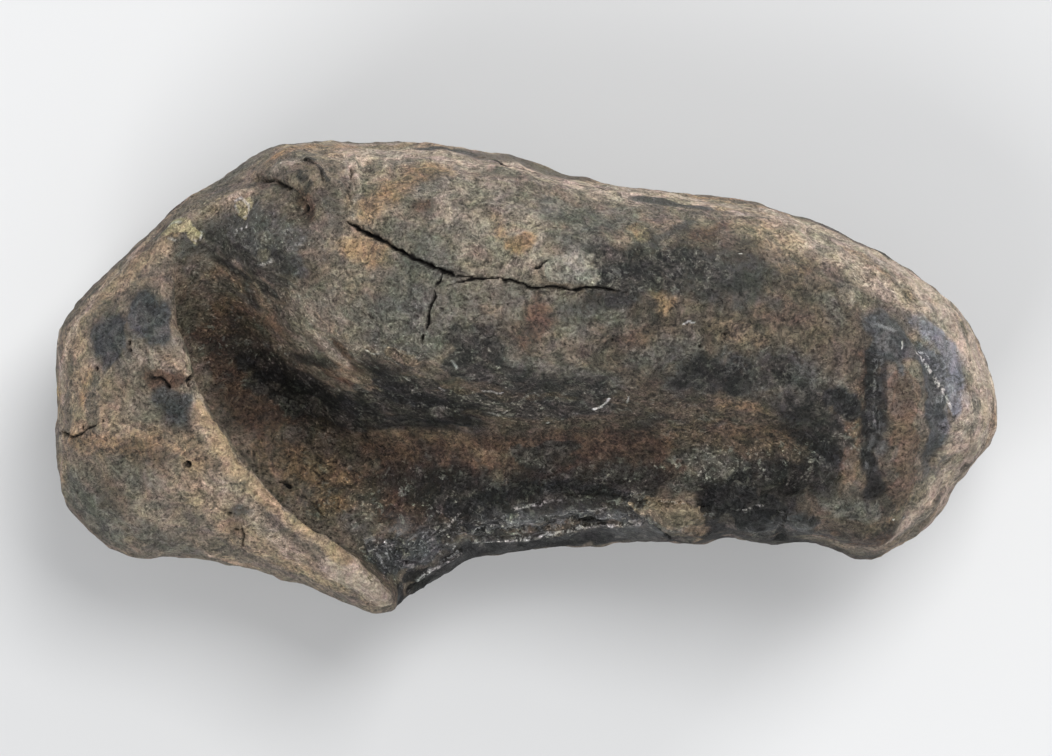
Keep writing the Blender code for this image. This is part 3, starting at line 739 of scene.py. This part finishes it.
# %% List the crisp marks
CRISP_STAINS = {
    "chalk": [
        (14, 0.95, (560, 270), (575, 264), (586, 268)), (5, 0.25, (325, 378), (345, 374), (366, 378)),
        (8, 0.35, (480, 398), (505, 406)),
    ],
    "scar": [
        (11, 1.1, (640, 506), (672, 510), (706, 518)), (10, 1.1, (664, 520), (702, 530)),
        (7, 1.0, (680, 536), (694, 540)), (10, 0.5, (340, 374), (362, 378)),
        (8, 0.9, (392, 352), (410, 361)), (7, 0.5, (480, 306), (500, 312)),
        (8, 0.5, (175, 350), (188, 362)),
    ],
    "crust": [
        (8, 0.9, (168, 234), (182, 228)), (7, 0.9, (193, 235), (197, 238)),
        (7.5, 0.95, (241, 204), (243, 210)), (5, 0.4, (256, 260), (266, 252)),
        (5, 0.5, (640, 226), (644, 238)),
    ],
    "clay": [
        (14, 1.3, (903, 385), (904, 488)), (8.5, 1.1, (851, 430), (851, 476)),
        (10, 0.4, (828, 532), (868, 542)),
    ],
    "char_and_painted_shadow": [
        (12, 0.45, (903, 384), (903, 406)), (8, 0.6, (546, 470), (570, 458)),
        (13, 0.8, (526, 454), (566, 448)), (8, 0.4, (851, 454), (851, 474)),
        (7, 0.5, (424, 444), (438, 470)), (8, 0.5, (612, 474), (640, 466)),
        (3, 0.9, (300, 176), (312, 186)), (3, 0.8, (318, 170), (328, 184)),
        (3, 0.7, (304, 160), (314, 163)), (14, 1.0, (796, 396), (822, 408)),
        (12, 1.0, (832, 424), (838, 440)), (12, 1.0, (704, 380), (736, 384)),
        (13, 1.2, (746, 508), (776, 511)), (16, 1.1, (746, 526), (775, 530), (800, 532)),
        (14, 1.0, (4, -16.8, 19), (10, -16.4, 20), (15, -16.2, 22)),
        (14, 0.9, (20, -16.6, 20), (27, -16.8, 20.5)),
        (6, 1.2, (638, 512), (654, 526), (674, 540), (692, 546)),
        # These char strokes, to the end of line 761, lie along the crown's step into the hollow and round
        # the dome, and paint its shadow as well as the dark stain.
        (26, 1.3, (350, 408), (385, 402), (430, 402)), (22, 1.2, (296, 394), (330, 404)),
        (16, 1.3, (390, 382), (426, 384)), (22, 1.2, (440, 398), (476, 402)),
        (20, 0.9, (490, 406), (600, 408)), (19, 1.2, (466, 344), (474, 348)),
        (22, 1.2, (462, 366), (498, 374)), (20, 0.9, (520, 382), (594, 388)),
        (12, 1.2, (604, 282), (634, 281)), (22, 1.2, (698, 376), (730, 382)),
        (14, 1.1, (772, 370), (786, 374)), (10, 0.9, (738, 540), (780, 545), (812, 543)),
        (13, 0.9, (824, 532), (840, 540)), (12, 0.5, (850, 538), (868, 546)),
        (12, 0.8, (210, 243), (240, 254), (266, 272), (282, 285)), (16, 0.5, (360, 392), (392, 404)),
        (12, 0.6, (715, 500), (728, 520), (732, 540)), (14, 0.5, (252, 262), (280, 258)),
        (12, 1.0, (248, 266), (262, 282), (272, 294)), (19, 1.25, (606, 270), (650, 268), (684, 264)),
        (14, 0.5, (705, 280), (745, 286)), (14, 0.9, (262, 380), (296, 392)),
    ],
    "blot": [
        (19, 1.0, (107, 329), (111, 347)), (15, 0.85, (140, 310), (152, 318), (157, 326)),
        (10, 0.5, (166, 398), (186, 400)), (8, 0.9, (174, 410), (178, 417)),
        (20, 0.9, (884, 330), (897, 350)), (14, 1.3, (934, 362), (938, 400)),
        (11, 1.1, (936, 400), (934, 440)), (6, 0.5, (930, 440), (928, 472)),
        (12, 0.8, (905, 346), (926, 354)), (13, 0.6, (520, 518), (580, 512), (630, 517)),
        (14, 0.5, (748, 522), (800, 524)), (7, 0.4, (238, 512), (242, 512)),
        (18, 0.9, (384, 562), (425, 552)),
    ],
    "ink_and_painted_shadow": [
        (12, 0.5, (606, 272), (650, 268)), (8, 0.45, (612, 300), (640, 300)),
        (8, 0.3, (592, 294), (634, 298)), (10, 0.35, (700, 262), (740, 268)),
        (8, 0.6, (872, 354), (871, 400), (870, 446)), (5, 0.6, (883, 358), (883, 430)),
        (7, 0.9, (408, 588), (420, 584)), (10, 0.6, (868, 457), (876, 490)),
        (17, 1.3, (718, 500), (738, 500), (760, 500)), (9, 0.6, (722, 486), (745, 480)),
        (14, 0.3, (466, 346), (480, 348)), (26, 0.5, (700, 374), (730, 381)),
        (15, 0.45, (770, 368), (788, 372)), (13, 0.35, (890, 325), (900, 345)),
        (12, 0.8, (742, 520), (768, 526)), (12, 0.8, (790, 524), (806, 530)),
        (5, 1.0, (397, 588), (400, 606)), (13, 0.95, (838, 404), (850, 410)),
        (4, 0.9, (475, 546), (540, 540), (640, 529)), (8, 0.8, (468, 528), (540, 524), (605, 517)),
        (8, 0.6, (735, 530), (770, 534)), (7, 0.6, (784, 536), (806, 533)),
        # The ink strokes on this line and the next, along the crown's step into the hollow, paint its
        # shadow as well as the stain.
        (15, 0.8, (386, 380), (398, 400), (428, 400)), (11, 0.6, (440, 402), (470, 408)),
        (13, 0.85, (282, 378), (305, 388), (330, 401), (364, 409)), (4, 0.8, (365, 414), (470, 424)),
        (9, 0.7, (240, 362), (262, 372)), (10, 0.8, (452, 512), (484, 506)),
        (6, 0.8, (480, 497), (600, 489), (640, 500)), (8, 0.8, (498, 490), (545, 488), (572, 485)),
        (10, 0.9, (410, 574), (440, 575), (470, 553)), (4, 0.5, (362, 545), (400, 539), (438, 528)),
        (10, 0.8, (712, 520), (722, 540)),
        (15, 1.0, (-11, -20.8, 16.5), (-6.5, -18.9, 17), (-3, -17.6, 17.5), (3, -17.1, 18)),
        (12, 0.8, (3, -16.9, 18.5), (9, -16.4, 20)), (2.5, 0.7, *FAR_CRACK),
        (9, 0.9, (742, 510), (774, 512)), (14, 0.8, (732, 500), (758, 506)),
        (4, 0.9, (640, 514), (656, 528), (676, 541)), (5, 0.8, (780, 512), (782, 540)),
        (5, 0.6, (815, 520), (812, 545)), (14, 0.7, (800, 440), (828, 452)),
    ],
}
print(len(CRISP_STAINS), "crisp marks")

# %% [markdown]
# ### Rough places
# These two are not colours. Grit says where light grains show in the dark, and pits where the
# bone is pricked with fine holes.

# %% List the rough places
GRAINS = {
    "grit": [
        (34, 1.0, (390, 395), (460, 400), (540, 405)), (26, 0.7, (480, 360), (500, 380)),
        (22, 1.0, (680, 474), (740, 458), (802, 454)), (24, 0.7, (620, 275), (700, 262)),
        (26, 1.3, (480, 530), (560, 520), (630, 510)), (12, 0.9, (760, 535), (800, 532)),
        (24, 1.4, (380, 560), (430, 545), (450, 520)), (20, 0.7, (840, 440), (860, 400)),
        (30, 0.6, (330, 350), (400, 345)), (30, 0.6, (210, 290), (300, 300)),
        (30, 0.5, (250, 240), (300, 230)), (40, 0.5, (600, 400), (700, 420)),
        (30, 0.4, (470, 490), (600, 490)), (30, 0.4, (300, 400), (330, 480)),
        (30, 0.9, (340, 500), (425, 505)), (34, 0.9, (210, 330), (300, 380)),
        (22, 0.8, (250, 345), (300, 388), (350, 405)), (24, 0.4, (700, 380), (780, 374)),
        (20, 0.6, (466, 345), (500, 370)),
    ],
    "pits": [
        (44, 1.0, (600, 340), (700, 335), (800, 340)), (34, 0.9, (470, 305), (520, 320)),
        (40, 0.6, (380, 250), (470, 235)), (34, 0.8, (180, 450), (130, 420)),
        (40, 0.8, (250, 450), (330, 500)), (30, 0.7, (170, 520), (240, 550)),
        (30, 0.8, (340, 300), (390, 310)), (50, 0.6, (800, 270), (900, 300)),
        (40, 0.8, (640, 420), (760, 430)), (34, 0.8, (400, 450), (600, 455)),
        (30, 0.6, (300, 190), (330, 230)),
    ],
}
print(len(GRAINS), "rough places")


# %% Brush them on
def save(mesh, name, amounts):
    layer = mesh.attributes.new(name, "FLOAT", "POINT")
    layer.data.foreach_set("value", amounts.astype(np.float32))


SOFT_STAINS = {**PALE_STAINS, **EARTH_STAINS, **DARK_STAINS, **GRAINS}
CRISP_EDGE = (1.25, 0.8)
for stain, strokes in SOFT_STAINS.items():
    save(skin, stain, brush(strokes))
for stain, strokes in CRISP_STAINS.items():
    save(skin, stain, brush(strokes, *CRISP_EDGE))
print(len(SOFT_STAINS), "soft stains and", len(CRISP_STAINS), "crisp ones saved on the points")

# %% Mark the flecks, the glints and the darkening of the cracks
CRACK_DARK_DEPTH = 0.35
for name, marked in (("fleck_and_highlight", FLECKS_AND_HIGHLIGHT), ("glint", GLINTS)):
    bright = np.zeros(len(places))
    for half, white, found, far in beside_strokes(marked, 2):
        bright[found] = np.maximum(bright[found], white * ease(1.2 * half, 0.6 * half, far))
    save(skin, name, bright)
save(skin, "crack_darkening", np.clip(cut / CRACK_DARK_DEPTH, 0, 1))
save(skin, "fractured", fractured)
print("glints on", int((bright > 0.5).sum()), "points")

# %% [markdown]
# ## Gloss and growth layers
# The broken rim and the dark bands of the round end are half glossy. The outer side of the bone
# grew in thin sheets, whose edges show as fine lines round the far edge and low on the walls.

# %% Mark the gloss and the layers
GLOSS = [
    (24, 1.0, (380, 560), (440, 550), (520, 525), (640, 520)), (15, 0.5, (768, 527), (802, 524)),
    (20, 1.0, (930, 350), (940, 400)), (14, 0.7, (930, 400), (932, 470)), (14, 0.7, (875, 345), (868, 470)),
    (14, 0.8, (886, 325), (900, 350)),
]
HEART = (0, 0, 20)
WALL_TOP, WALL_FOOT = 18, 13
LEVEL, STEEP = 0.85, 0.5
outward = ease(0, 6, ((places - HEART) * facing(skin)).sum(1))
low_wall = ease(WALL_TOP, WALL_FOOT, places[:, 2])
layered = np.maximum(brush([(22, 1.0, *FAR_EDGE)]), low_wall) * outward
layered *= ease(LEVEL, STEEP, np.abs(facing(skin)[:, 2]))
save(skin, "layered", layered)
save(skin, "gloss", brush(GLOSS))
print("layers show on", round(100 * float(layered.mean())), "% of the points")


# %% [markdown]
# ## Material
# A recipe holds one material. Its arithmetic is written as ordinary expressions: a value wraps a
# socket, and adding or multiplying values adds the Math nodes that do so.

# %% Write shader arithmetic as expressions
class Value:
    """A socket of a recipe that can be used in a sum."""

    def __init__(self, recipe, socket):
        self.recipe = recipe
        self.socket = socket

    def work(self, operation, *values):
        return self.recipe.node("ShaderNodeMath", {"operation": operation}, dict(enumerate(values)))

    def __add__(self, other):
        return self.work("ADD", self, other)

    def __sub__(self, other):
        return self.work("SUBTRACT", self, other)

    def __rsub__(self, other):
        return self.work("SUBTRACT", other, self)

    def __mul__(self, other):
        return self.work("MULTIPLY", self, other)

    def __abs__(self):
        return self.work("ABSOLUTE", self)

    __radd__ = __add__
    __rmul__ = __mul__


print("values can be added, taken away, multiplied and made positive")


# %% Write a recipe that holds a material
class Recipe:
    """One material, its nodes and the values that join them."""

    def __init__(self, name):
        self.material = bpy.data.materials.new(name)
        self.material.use_nodes = True
        self.tree = self.material.node_tree
        self.shader = self.tree.nodes["Principled BSDF"]

    def node(self, kind, settings=None, sockets=None, out=0):
        """A new node with these settings, and values or links on its sockets."""
        made = self.tree.nodes.new(kind)
        for name, setting in (settings or {}).items():
            setattr(made, name, setting)
        self.feed(made, sockets or {})
        return Value(self, made.outputs[out])

    def feed(self, node, sockets):
        for name, value in sockets.items():
            if isinstance(value, Value):
                self.tree.links.new(value.socket, node.inputs[name])
            else:
                node.inputs[name].default_value = value

    def layer(self, name):
        return self.node("ShaderNodeAttribute", {"attribute_name": name}, out="Fac")

    def between(self, value, start, end):
        """Goes softly from 0 at start to 1 at end."""
        settings = {"interpolation_type": "SMOOTHSTEP"}
        sockets = {"Value": value, "From Min": start, "From Max": end}
        return self.node("ShaderNodeMapRange", settings, sockets)

    def blend(self, share, below, above, way="MIX"):
        settings = {"data_type": "RGBA", "blend_type": way}
        return self.node("ShaderNodeMix", settings, {0: share, 6: below, 7: above}, out=2)


print("a recipe is ready to be filled")

# %% [markdown]
# ### Grain
# Noise of several sizes gives the speckle: fine salt and pepper, worm-like wrinkles, scabs and
# pinholes, mottling and broad clouds. It reads the object's own coordinates, so it stays on the
# bone when it turns. Their height is scaled down a little, because a grain the same size every
# way looks combed where the camera sees a steep wall at a slant.

# %% Mix the grains
recipe = Recipe("fossil bone")
own = recipe.node("ShaderNodeTexCoord", out="Object")
here = recipe.node("ShaderNodeVectorMath", {"operation": "MULTIPLY"}, {0: own, 1: (1.0, 1.0, 0.7)})


def noise(size, detail=2.0, rough=0.6, warp=0.0, place=here, out=0):
    sockets = {"Vector": place, "Scale": 1000 / size, "Detail": detail, "Roughness": rough}
    sockets["Distortion"] = warp
    return recipe.node("ShaderNodeTexNoise", {}, sockets, out=out)


def stretched(size, detail, squeeze):
    """Noise drawn out along the axes that are squeezed most."""
    drawn = recipe.node("ShaderNodeVectorMath", {"operation": "MULTIPLY"}, {0: here, 1: squeeze})
    return noise(size, detail, 0.6, 0.25, drawn)


fine = noise(0.32, 2, 0.65, 0.5)
worm = noise(0.85, 3, 0.62, 1.4)
mottle = noise(2.2, 4, 0.65, 0.7)
cloud = noise(8.0, 3, 0.55, 0.3)
layers = stretched(0.75, 2, (0.07, 0.07, 1.0))
wrinkle = 1 - recipe.between(abs(noise(1.1, 2, 0.6, 2.2) - 0.5), 0.0, 0.06)
crease = 1 - recipe.between(abs(noise(0.9, 2, 0.6, 1.8) - 0.48), 0.0, 0.05)
mixed = fine * 0.2 + worm * 0.35 + mottle * 0.45
specks = recipe.between(noise(0.3, 1.5, 0.5, 0.2), 0.57, 0.66)
dots = recipe.between(noise(0.38, 1.5, 0.5, 0.3), 0.42, 0.34)
scabs = recipe.between(noise(1.3, 3, 0.68, 0.4) * 0.7 + worm * 0.3, 0.55, 0.60)
holes = recipe.between(fine * 0.45 + worm * 0.55, 0.41, 0.35)
cell = recipe.node("ShaderNodeTexVoronoi", {}, {"Vector": here, "Scale": 1000 / 1.25}, out="Distance")
pricks = recipe.between(cell + fine * 0.16, 0.32, 0.22) * recipe.between(mottle, 0.42, 0.5)
print("nodes in the grain:", len(recipe.tree.nodes))


# %% [markdown]
# ### Colour
# Each stain has a light and a deep tone, taken in turns by the mottling. It covers the colour
# before it where its brushed patch shows, so the order of the list is the order of the layers.

# %% Mix the pigments
def tint(red, green, blue):
    return (red, green, blue, 1)


BARE = tint(0.208, 0.167, 0.124), tint(0.142, 0.118, 0.092)
PIGMENTS = {
    "sand": (tint(0.36, 0.27, 0.182), tint(0.255, 0.192, 0.132)),
    "pale": (tint(0.28, 0.242, 0.188), tint(0.185, 0.162, 0.128)),
    "rose": (tint(0.50, 0.405, 0.32), tint(0.36, 0.28, 0.22)),
    "brown": (tint(0.108, 0.086, 0.063), tint(0.056, 0.045, 0.034)),
    "moss": (tint(0.155, 0.148, 0.120), tint(0.084, 0.083, 0.070)),
    "rust": (tint(0.29, 0.195, 0.11), tint(0.165, 0.108, 0.063)),
    "umber": (tint(0.122, 0.078, 0.053), tint(0.056, 0.036, 0.029)),
    "ochre": (tint(0.47, 0.345, 0.22), tint(0.33, 0.235, 0.148)),
    "slate": (tint(0.078, 0.077, 0.071), tint(0.042, 0.042, 0.039)),
    "soot_and_painted_shadow": (tint(0.036, 0.035, 0.032), tint(0.010, 0.010, 0.010)),
    "scar": (tint(0.24, 0.188, 0.128), tint(0.155, 0.12, 0.083)),
    "crust": (tint(0.37, 0.325, 0.20), tint(0.24, 0.205, 0.12)),
    "clay": (tint(0.172, 0.118, 0.084), tint(0.132, 0.091, 0.065)),
    "char_and_painted_shadow": (tint(0.075, 0.068, 0.058), tint(0.022, 0.021, 0.019)),
    "blot": (tint(0.082, 0.082, 0.08), tint(0.05, 0.052, 0.053)),
    "ink_and_painted_shadow": (tint(0.026, 0.026, 0.025), tint(0.008, 0.008, 0.008)),
    "chalk": (tint(0.255, 0.236, 0.192), tint(0.172, 0.157, 0.127)),
    # sheen is a painted reflection: the bluish light seen in the glossy round end, put into the colour.
    "sheen": (tint(0.21, 0.208, 0.23), tint(0.135, 0.134, 0.154)),
}
print(len(PIGMENTS), "pigments, each with a light and a deep tone")


# %% Lay them over the bare bone
def broken(name, most=0.93):
    """How much of a stain shows here, once the grain has broken up its patch."""
    return recipe.between(recipe.layer(name) * (mixed * 3.2 - 0.6), 0.12, 0.82) * most


spots = recipe.between(mottle * 0.6 + worm * 0.4, 0.38, 0.62)
colour = recipe.blend(spots, BARE[1], BARE[0])
for name, (light, deep) in PIGMENTS.items():
    colour = recipe.blend(broken(name), colour, recipe.blend(spots, deep, light))
print("nodes after the stains:", len(recipe.tree.nodes))

# %% [markdown]
# ### Scabs, scratches and holes
# Light scabs show where the dark stains are gritty, hair scratches cross the broken rim, and fine
# dark holes prick the bone. The white flecks and the glints lie on top of them all; the glints are
# painted highlights, light off the rim's facets and the glossy band of the round end, put into the colour.

# %% Add the scabs, scratches, holes and flecks
bare_grit = recipe.layer("grit") * (1 - recipe.layer("ink_and_painted_shadow") * 0.75)
colour = recipe.blend(scabs * bare_grit * 0.7, colour, tint(0.20, 0.195, 0.16))
lines = stretched(1.5, 3, (0.45, 1.0, 1.0))
scratched = (1 - recipe.between(abs(lines - 0.5), 0.0, 0.03)) * recipe.between(mottle, 0.44, 0.56)
colour = recipe.blend(scratched * recipe.layer("fractured") * 0.7, colour, tint(0.21, 0.21, 0.195))
pitted = holes * (recipe.layer("pits") * 0.5 + 0.08) + pricks * (recipe.layer("pits") * 0.6 + 0.15)
colour = recipe.blend(pitted, colour, tint(0.035, 0.028, 0.023))
# Painted highlights: the glints along the rim and the round end, broken into sparkles by the grain.
glitter = recipe.between(fine * 0.35 + worm * 0.65, 0.44, 0.56)
# White flecks, one painted highlight among them, and the painted glints.
white = recipe.layer("fleck_and_highlight") + recipe.layer("glint") * glitter * 0.5
colour = recipe.blend(white, colour, tint(0.75, 0.72, 0.66))
print("nodes after the marks:", len(recipe.tree.nodes))

# %% [markdown]
# ### Speckle
# Salt and pepper, wrinkles and growth layers are mixed as one grey that the colour is multiplied
# by, so they darken and lighten every stain alike. The palest bone is calmer and a little brighter,
# which adds to the painted light along the outline. Then the hue drifts a little from speck to
# speck, and the cracks are blackened by how deep they are cut.

# %% Multiply by the speckle
layered = recipe.layer("layered")
shade = recipe.between(fine, 0.3, 0.7) * 0.55 + recipe.between(worm, 0.3, 0.7) * 0.5
shade = shade + spots * 0.25 + 0.32
shade = shade + recipe.between(cloud, 0.35, 0.65) * 0.2 + wrinkle * 0.2 - crease * 0.2
shade = shade + (recipe.between(layers, 0.34, 0.66) - 0.5) * layered * 0.35
shade = shade * (specks * (recipe.layer("grit") * 1.3 + 0.35) + 1.02 - dots * 0.45)
# Calm also lifts the pale and rose stains a little, which adds to the painted light along the outline.
calm = recipe.between(recipe.layer("rose") + recipe.layer("pale") * 0.6, 0.0, 1.6) * 0.5
shade = shade * (1 - calm) + calm * 1.12
grey = recipe.node("ShaderNodeCombineColor", {}, {0: shade, 1: shade, 2: shade})
colour = recipe.blend(1.0, colour, grey, "MULTIPLY")
print("nodes after the speckle:", len(recipe.tree.nodes))

# %% Drift the hue and blacken the cracks
HUE_DRIFT = 0.38
drift = {0: noise(2.2, 3, 0.65, 0.5, out="Color"), 1: (HUE_DRIFT,) * 3, 2: (1 - HUE_DRIFT / 2,) * 3}
hue = recipe.node("ShaderNodeVectorMath", {"operation": "MULTIPLY_ADD"}, drift)
colour = recipe.blend(1.0, colour, hue, "MULTIPLY")
# The cracks go near black by how deep they are cut.
colour = recipe.blend(recipe.layer("crack_darkening"), colour, tint(0.012, 0.01, 0.009))
recipe.feed(recipe.shader, {"Base Color": colour})
print("nodes after the hue and the dirt:", len(recipe.tree.nodes))

# %% [markdown]
# ### Surface
# The same grain gives the finest relief, as a bump of half a millimetre at most, and breaks up
# the gloss. A thin coat makes the broken rim and the blue-grey patch shine as if polished.

# %% Set the gloss and the finest relief
BUMP_DEPTH = 0.0005
shine = recipe.layer("gloss")
rough = 0.72 - shine * 0.3 + (fine - 0.5) * 0.3
relief = (specks - dots) * 0.12 + fine * 0.3 + worm * 0.6 + mottle * 0.8
relief = relief + wrinkle * 0.1 - crease * 0.12 + layers * layered * 0.7 - pricks * 0.3
pressed = {"Strength": 1.0, "Distance": BUMP_DEPTH, "Height": relief}
bump = recipe.node("ShaderNodeBump", {}, pressed)
recipe.feed(recipe.shader, {"Roughness": rough, "Normal": bump, "Specular IOR Level": 0.25})
coat = shine * 0.4 + recipe.layer("sheen") * 0.5
recipe.feed(recipe.shader, {"Coat Weight": coat, "Coat Roughness": 0.22})
bone.data.materials.append(recipe.material)
for face in skin.polygons:
    face.use_smooth = True
print("nodes in the recipe:", len(recipe.tree.nodes))

# %% [markdown]
# ## Studio
# A broad key lamp high behind the bone lights the crown and leaves the hollow dark, and a low
# window lamp on the same side brightens the far edge. A fill lamp in front and a pale sky soften
# the shadows. A plain pale floor carries the bone.

# %% Lay the floor and hang the lamps
FLOOR_TONE = tint(0.66, 0.66, 0.66)
SKY_TONE = tint(0.93, 0.96, 1.0)
SKY_STRENGTH = 0.42
bpy.ops.mesh.primitive_plane_add(size=12)
floor = bpy.context.object
floor.name = "floor"
floor_recipe = Recipe("floor paper")
floor_recipe.feed(floor_recipe.shader, {"Base Color": FLOOR_TONE, "Roughness": 0.9})
floor.data.materials.append(floor_recipe.material)
sky = bpy.data.worlds.new("sky")
scene.world = sky
sky.use_nodes = True
background = sky.node_tree.nodes["Background"]
background.inputs["Color"].default_value = SKY_TONE
background.inputs["Strength"].default_value = SKY_STRENGTH
LAMP_AIM = Vector((0, 0, 0.02))


def hang_lamp(name, place, size, power):
    lamp = bpy.data.lights.new(name, "AREA")
    lamp.size = size
    lamp.energy = power
    holder = bpy.data.objects.new(name, lamp)
    holder.location = place
    holder.rotation_euler = (LAMP_AIM - Vector(place)).to_track_quat("-Z", "Y").to_euler()
    holder.visible_camera = False
    scene.collection.objects.link(holder)
    print(name, "hangs", round(Vector(place).length, 2), "m away")


hang_lamp("key lamp", (0.25, 0.45, 1.15), 0.5, 8)
hang_lamp("fill lamp", (-0.45, -0.60, 0.8), 0.6, 6)
hang_lamp("window lamp", (0.70, 0.80, 0.42), 0.4, 7)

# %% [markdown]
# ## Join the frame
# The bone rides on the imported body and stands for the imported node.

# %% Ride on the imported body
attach(bone, "root")
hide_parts("ear_bone")
